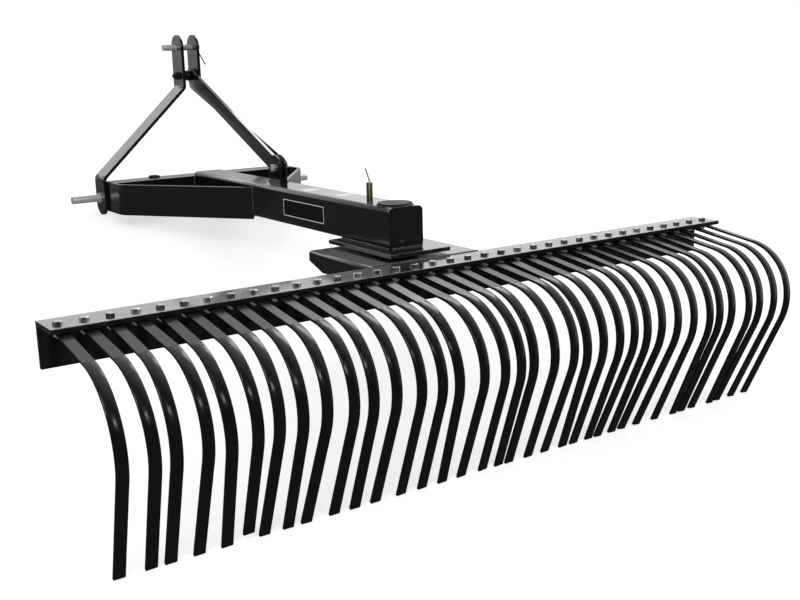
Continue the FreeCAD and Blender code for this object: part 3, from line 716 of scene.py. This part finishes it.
class RAKE_OT_tine_bolts(bpy.types.Operator):
    """Bolts that hold the tines, with their heads on the bar and their nuts under the tines"""

    bl_idname = "rake.tine_bolts"
    bl_label = "Tine bolts"

    def execute(self, context):
        sizes = context.scene.rake_sizes
        inset = sizes.tine_bolt_inset
        heads = bolt_head(sizes.tine_bolt_flats, sizes.tine_bolt_head)
        spots = [(index - (len(TINES) - 1) / 2) * PITCH for index in range(len(TINES))]
        turns = [CHANCE.uniform(0, math.pi / 3) for spot in spots]
        places = [Matrix.Translation((spot, -inset, 0)) @ Matrix.Rotation(turn, 4, "Z")
                  for spot, turn in zip(spots, turns)]
        settle(repeated("tine_bolt_heads", heads, places), HEAD_BODY, FINISHES["zinc"])
        nut = nut_on_thread(sizes.tine_bolt_flats * 0.94, height=8 * MM, thread=sizes.tine_bolt_size,
                            proud=3 * MM)
        under = -(BAR_WALL + TINE_THICKNESS) * MM
        places = [Matrix.Translation((spot, -inset, under)) @ Matrix.Rotation(math.pi, 4, "X")
                  @ Matrix.Rotation(CHANCE.uniform(0, math.pi / 3), 4, "Z") for spot in spots]
        settle(repeated("tine_bolt_nuts", nut, places), HEAD_BODY, FINISHES["pin"])
        return {"FINISHED"}


class RAKE_OT_mast_bolts(bpy.types.Operator):
    """Heads and nuts of the bolts that hold the mast and the brace"""

    bl_idname = "rake.mast_bolts"
    bl_label = "Mast and brace bolts"

    def execute(self, context):
        for name, flats, size, nut_left, nut_finish in LARGE_BOLTS:
            low, high = spread(name)
            y, z = (low.y + high.y) / 2, (low.z + high.z) / 2
            left, right = moved(low.x, y, z) @ LOOK_LEFT, moved(high.x, y, z) @ LOOK_RIGHT
            nut = nut_on_thread(flats * MM, size * NUT_HEIGHT * MM, thread=size * MM, proud=6 * MM)
            nut.data.transform(left if nut_left else right)
            nut.name = nut.data.name = f"{name}_nut"
            settle(nut, FRAME_BODY, FINISHES[nut_finish])
            head = bolt_head(flats * MM, size * HEAD_HEIGHT * MM)
            head.data.transform(right if nut_left else left)
            head.name = head.data.name = f"{name}_head"
            settle(head, FRAME_BODY, FINISHES["pin"])
        return {"FINISHED"}


class RAKE_OT_clips(bpy.types.Operator):
    """Wire clips of the lock pin and the top link pin"""

    bl_idname = "rake.clips"
    bl_label = "Clips"

    def execute(self, context):
        # A wire that leans out of the lock pin's top, to lift it by.
        low, high = spread("lock_pin")
        x, y, z = (low.x + high.x) / 2, (low.y + high.y) / 2, high.z
        wire = bent_wire("lock_pin_wire", [
            (x + 3, y, z - 10), (x + 1, y, z + 2), (x - 3, y - 1, z + 14), (x - 12, y - 2, z + 36)])
        settle(wire, FRAME_BODY, FINISHES["straw"])
        # A clip bent round the end of the top pin, with its tail hanging down behind.
        low, high = spread("top_link_pin")
        x, y, z = high.x - 6, (low.y + high.y) / 2, (low.z + high.z) / 2
        clip = bent_wire("top_pin_clip", [
            (x, y - 12, z + 2), (x, y - 8, z + 13), (x, y + 6, z + 14), (x, y + 15, z + 2),
            (x, y + 8, z - 10), (x, y, z - 14), (x, y - 14, z - 18), (x, y - 28, z - 30),
            (x, y - 56, z - 54)])
        settle(clip, FRAME_BODY, FINISHES["bare"])
        return {"FINISHED"}


class RAKE_OT_boom_label(bpy.types.Operator):
    """Blank label on the boom's left side and two blank stickers on its top"""

    bl_idname = "rake.boom_label"
    bl_label = "Blank label and stickers"

    def execute(self, context):
        sizes = context.scene.rake_sizes
        tall, wide = sizes.label_height, sizes.label_length
        low, high = spread("boom_tube")
        side = Matrix.Rotation(-math.pi / 2, 4, "Y") @ Matrix.Rotation(math.pi / 2, 4, "Z")
        place = moved(low.x, LABEL_PLACE, (low.z + high.z) / 2 - 1) @ side

        face = film("label_face", wide, tall, thick=0.5 * MM, corner=3 * MM)
        face.data.transform(place)
        settle(face, FRAME_BODY, FINISHES["label"])

        rim = film("label_border", wide - 5 * MM, tall - 5 * MM, thick=0.7 * MM, corner=2.5 * MM)
        cut_to_border(rim, width=1.8 * MM)
        rim.data.transform(place)
        settle(rim, FRAME_BODY, FINISHES["rim"])

        for number, (x, y, turn) in enumerate(STICKERS, start=1):
            sticker = film(f"boom_sticker_{number}", sizes.sticker_side, sizes.sticker_side,
                           thick=0.35 * MM, corner=3 * MM)
            sticker.data.transform(moved(x, y, high.z) @ Matrix.Rotation(math.radians(turn), 4, "Z"))
            settle(sticker, FRAME_BODY, FINISHES["sticker"])
        return {"FINISHED"}


class RAKE_OT_frame_welds(bpy.types.Operator):
    """Painted weld beads where the pieces of the hitch frame are joined"""

    bl_idname = "rake.frame_welds"
    bl_label = "Frame welds"

    def execute(self, context):
        width = context.scene.rake_sizes.weld_width
        step = width * RIPPLE_STEP
        low, high = spread("boom_tube")
        half, under, top, front = high.x, low.z, high.z, high.y
        plate_low, plate_high = spread("side_plate_right")
        bar_low, bar_high = spread("front_crossbar")
        ear_left = spread("brace_ear_left")[0]
        ear_low, ear_high = spread("brace_ear_right")
        swivel_high = spread("upper_swivel_plate")[1]
        cap_low, cap_high = spread("kingpin_cap")
        rear = spread("boom_end_cap")[0].y
        # A seam lies a millimetre outside the face it runs along, and stops short of the corners.
        out, short, corner = 1, 3, 8
        seams = []
        for x in (ear_left.x - out, ear_high.x + out):
            seams += seam_places((x, ear_low.y + short, top), (x, ear_high.y - short, top), step)
        for side in (-1, 1):
            seams += seam_places((side * half, rear + 6, under + out),
                                 (side * half, swivel_high.y - corner, under + out), step)
            seams += seam_places((side * (half + out), plate_low.y - out, under),
                                 (side * (half + out), plate_low.y - out, plate_high.z - short), step)
            seams += seam_places((side * (bar_high.x - 2), bar_low.y - out, bar_low.z + short),
                                 (side * (bar_high.x - 2), bar_low.y - out, bar_high.z - short), step)
            seams += seam_places((side * (half + out), front - out, bar_low.z + short),
                                 (side * (half + out), front - out, bar_high.z - short), step)
        seams += seam_places((corner - half, front + out, bar_high.z),
                             (half - corner, front + out, bar_high.z), step)
        seams += seam_places((corner - half, rear - out, under + out),
                             (half - corner, rear - out, under + out), step)
        seams += round_seam((0, (cap_low.y + cap_high.y) / 2, top), cap_high.x, step)
        beads = repeated("frame_weld_beads", ripple_model(width), seams)
        settle(beads, FRAME_BODY, FINISHES["powder"])
        return {"FINISHED"}


class RAKE_OT_crossbar_plug(bpy.types.Operator):
    """Low domed plug in the top of the front crossbar, on the left"""

    bl_idname = "rake.crossbar_plug"
    bl_label = "Crossbar plug"

    def execute(self, context):
        bar_high = spread("front_crossbar")[1]
        across, back = -155, 13
        dome = prism(sides=32, radius=18 * MM, low=-2 * MM, high=6 * MM)
        turn_down(dome, inset=4 * MM, drop=2.5 * MM)
        use_modifier(dome, "BEVEL", width=1.5 * MM, segments=3, limit_method="ANGLE")
        smooth(dome, 40)
        dome.data.transform(moved(across, bar_high.y - back, bar_high.z))
        dome.name = dome.data.name = "crossbar_plug"
        settle(dome, FRAME_BODY, FINISHES["plug"])
        return {"FINISHED"}


class RAKE_OT_head_weld(bpy.types.Operator):
    """Painted weld bead, a smaller one, between the head channel and the bar's front edge"""

    bl_idname = "rake.head_weld"
    bl_label = "Head weld"

    def execute(self, context):
        width = context.scene.rake_sizes.weld_width
        end, out = 150, 1
        seams = seam_places((-end, out, 0), (end, out, 0), width * RIPPLE_STEP)
        beads = repeated("head_weld_bead", ripple_model(width * HEAD_BEAD), seams)
        settle(beads, HEAD_BODY, FINISHES["powder"])
        return {"FINISHED"}


class RAKE_OT_stage(bpy.types.Operator):
    """Floor, soft lamps, world and the camera"""

    bl_idname = "rake.stage"
    bl_label = "Studio"

    def execute(self, context):
        scene = context.scene
        scene.view_settings.view_transform = "Standard"
        start_fresh()
        bpy.ops.mesh.primitive_plane_add(size=FLOOR_SIDE, location=(0, 0, -FLOOR_DROP * MM))
        floor = bpy.context.object
        floor.name = "studio_floor"
        give(floor, floor_material())
        scene.world = studio_world()
        for lamp in LAMPS:
            hang_lamp(scene, *lamp)
        stand_camera(scene)
        return {"FINISHED"}


OPERATORS = (RAKE_OT_finishes, RAKE_OT_tine_bolts, RAKE_OT_mast_bolts, RAKE_OT_clips, RAKE_OT_boom_label,
             RAKE_OT_frame_welds, RAKE_OT_crossbar_plug, RAKE_OT_head_weld, RAKE_OT_stage)


class RAKE_PT_pieces(bpy.types.Panel):
    """Lists the rake's pieces, sizes and colours"""

    bl_idname = "RAKE_PT_pieces"
    bl_label = "Landscape rake"
    bl_space_type = "VIEW_3D"
    bl_region_type = "UI"
    bl_category = "Rake"

    def draw(self, context):
        for operator in OPERATORS:
            self.layout.operator(operator.bl_idname)
        for group in (context.scene.rake_sizes, context.scene.rake_colours):
            box = self.layout.box()
            for name in group.bl_rna.properties.keys():
                if name not in ("rna_type", "name"):
                    box.prop(group, name)


CLASSES = (RakeSizes, RakeColours) + OPERATORS + (RAKE_PT_pieces,)


def register():
    for kind in CLASSES:
        bpy.utils.register_class(kind)
    bpy.types.Scene.rake_sizes = PointerProperty(type=RakeSizes)
    bpy.types.Scene.rake_colours = PointerProperty(type=RakeColours)


def unregister():
    del bpy.types.Scene.rake_colours
    del bpy.types.Scene.rake_sizes
    for kind in reversed(CLASSES):
        bpy.utils.unregister_class(kind)


def main():
    register()
    bpy.ops.rake.finishes()
    bpy.ops.rake.tine_bolts()
    bpy.ops.rake.mast_bolts()
    bpy.ops.rake.clips()
    bpy.ops.rake.boom_label()
    bpy.ops.rake.frame_welds()
    bpy.ops.rake.crossbar_plug()
    bpy.ops.rake.head_weld()
    bpy.ops.rake.stage()


if __name__ == "__main__":
    main()
